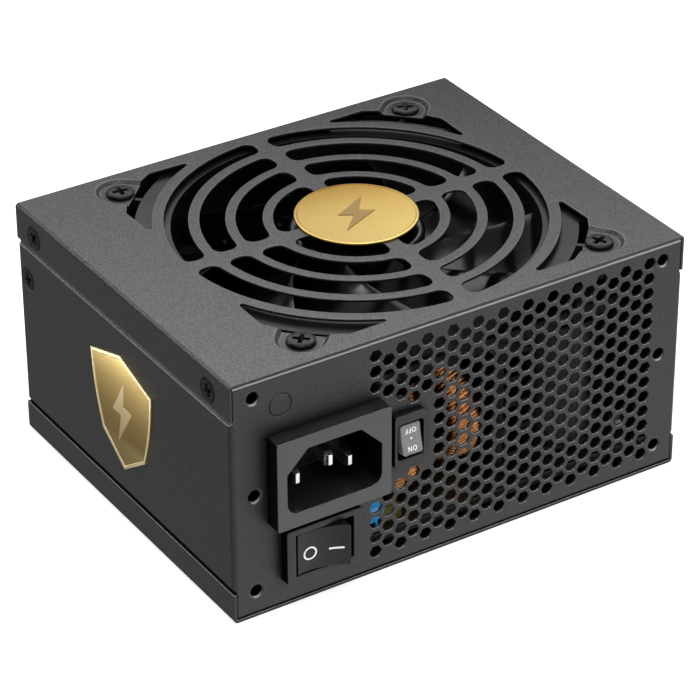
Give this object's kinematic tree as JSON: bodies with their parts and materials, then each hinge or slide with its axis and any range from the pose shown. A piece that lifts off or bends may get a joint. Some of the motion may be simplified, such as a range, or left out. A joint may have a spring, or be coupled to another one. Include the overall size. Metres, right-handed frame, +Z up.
{
  "type": "computer power supply unit",
  "caption": "Compact computer power supply with a sheet steel case, a fan under a ring grille, a honeycomb vent, a mains inlet, a power rocker and modular output sockets.",
  "frame": {"origin": "centre of the four corner mounting holes, on the rear panel's outer face", "axes": "+X to the right when looking at the rear panel from outside, +Y into the case, +Z up towards the fan grille; -Y points out of the rear panel"},
  "size_m": [0.1255, 0.1054, 0.0641],
  "materials": {
    "case_black": "fine-grained satin powder coat",
    "badge_gold": "brushed gold with a satin sheen",
    "screw_black": "black oxide, satin",
    "inlet_plastic": "moulded, fine grain",
    "pin_metal": "nickel plated, bright",
    "wire_brown": "wire insulation, satin",
    "switch_plastic": "moulded, fine grain",
    "rocker_black": "moulded, satin",
    "rocker_grey": "moulded, fine grain",
    "terminal_brass": "tinned brass, satin",
    "fan_plastic": "moulded, satin",
    "blade_plastic": "moulded, glossy",
    "bright_steel": "zinc plated",
    "dark_ferrite": "fired ferrite, matt",
    "bearing_bronze": "sintered bronze, oiled",
    "core_steel": "stacked laminations",
    "copper_wire": "enamelled copper wire",
    "board_green": "glass-epoxy board with solder mask",
    "board_brown": "glass-epoxy board with olive solder mask",
    "wire_red": "wire insulation, satin",
    "wire_black": "wire insulation, satin",
    "connector_white": "moulded nylon",
    "insulation_film": "clear-amber film",
    "capacitor_blue": "dipped epoxy, glossy",
    "capacitor_olive": "moulded box, satin",
    "capacitor_yellow": "moulded box, satin",
    "fuse_ceramic": "ceramic tube with plated caps",
    "moulded_black": "moulded, matt",
    "heatsink_aluminium": "extruded, satin",
    "capacitor_sleeve": "shrink sleeve, glossy",
    "tape_yellow": "wound polyester tape",
    "marking_white": "pad-printed marks"
  },
  "bodies": {
    "case": {"top_cover": "case_black", "bottom_cover": "case_black", "chassis": "case_black", "front_panel": "case_black", "grille_medallion": "badge_gold", "side_badge": "badge_gold", "cover_screws": "screw_black", "front_panel_screws": "screw_black", "bottom_screws": "screw_black", "fan_screws": "screw_black", "ac_inlet_body": "inlet_plastic", "ac_pins": "pin_metal", "ac_wires": "wire_brown", "power_switch_frame": "switch_plastic", "power_switch_terminals": "terminal_brass", "fan_mode_switch_frame": "switch_plastic", "fan_mode_terminals": "terminal_brass", "switch_wires": "wire_black", "fan_frame": "fan_plastic", "fan_bearing": "bearing_bronze", "fan_stator": "core_steel", "fan_coils": "copper_wire", "fan_circuit_board": "board_green", "fan_cable": "wire_red", "fan_connector": "connector_white", "insulation_sheet": "insulation_film", "board_standoffs": "bright_steel", "board_screws": "bright_steel", "main_board": "board_brown", "pfc_choke_core": "dark_ferrite", "pfc_choke_winding": "copper_wire", "filter_choke_cores": "dark_ferrite", "filter_choke_windings": "copper_wire", "y_capacitors": "capacitor_blue", "film_capacitor": "capacitor_olive", "x_capacitor": "capacitor_yellow", "fuse": "fuse_ceramic", "varistor": "capacitor_blue", "relay": "moulded_black", "bridge_rectifier": "moulded_black", "power_transistors": "moulded_black", "primary_heatsink": "heatsink_aluminium", "secondary_heatsink": "heatsink_aluminium", "bulk_capacitor": "capacitor_sleeve", "transformer_core": "dark_ferrite", "transformer_winding": "tape_yellow", "standby_transformer": "tape_yellow", "output_choke": "copper_wire", "output_capacitors": "capacitor_sleeve", "control_board": "board_green", "socket_board": "board_green", "motherboard_socket": "moulded_black", "eight_pin_sockets": "moulded_black", "peripheral_sockets": "moulded_black", "socket_terminals": "terminal_brass"},
    "fan": {"fan_rotor": "blade_plastic", "fan_shaft": "bright_steel", "fan_magnet": "dark_ferrite"},
    "power_rocker": {"power_rocker": "rocker_black"},
    "fan_mode_rocker": {"fan_mode_rocker": "rocker_grey"}
  },
  "joints": [
    {"name": "fan_spin", "type": "hinge", "parent": "case", "child": "fan", "pos_m": [0.003, 0.0504, 0.01725], "axis": [0, 0, 1], "continuous": true},
    {"name": "power_rocker_tilt", "type": "hinge", "parent": "case", "child": "power_rocker", "pos_m": [-0.03975, 0.0005, -0.01815], "axis": [0, 0, 1], "range_deg": [0, 25]},
    {"name": "fan_mode_rocker_tilt", "type": "hinge", "parent": "case", "child": "fan_mode_rocker", "pos_m": [-0.0158, 0.00093, 0.0017], "axis": [1, 0, 0], "range_deg": [0, 24]}
  ]
}
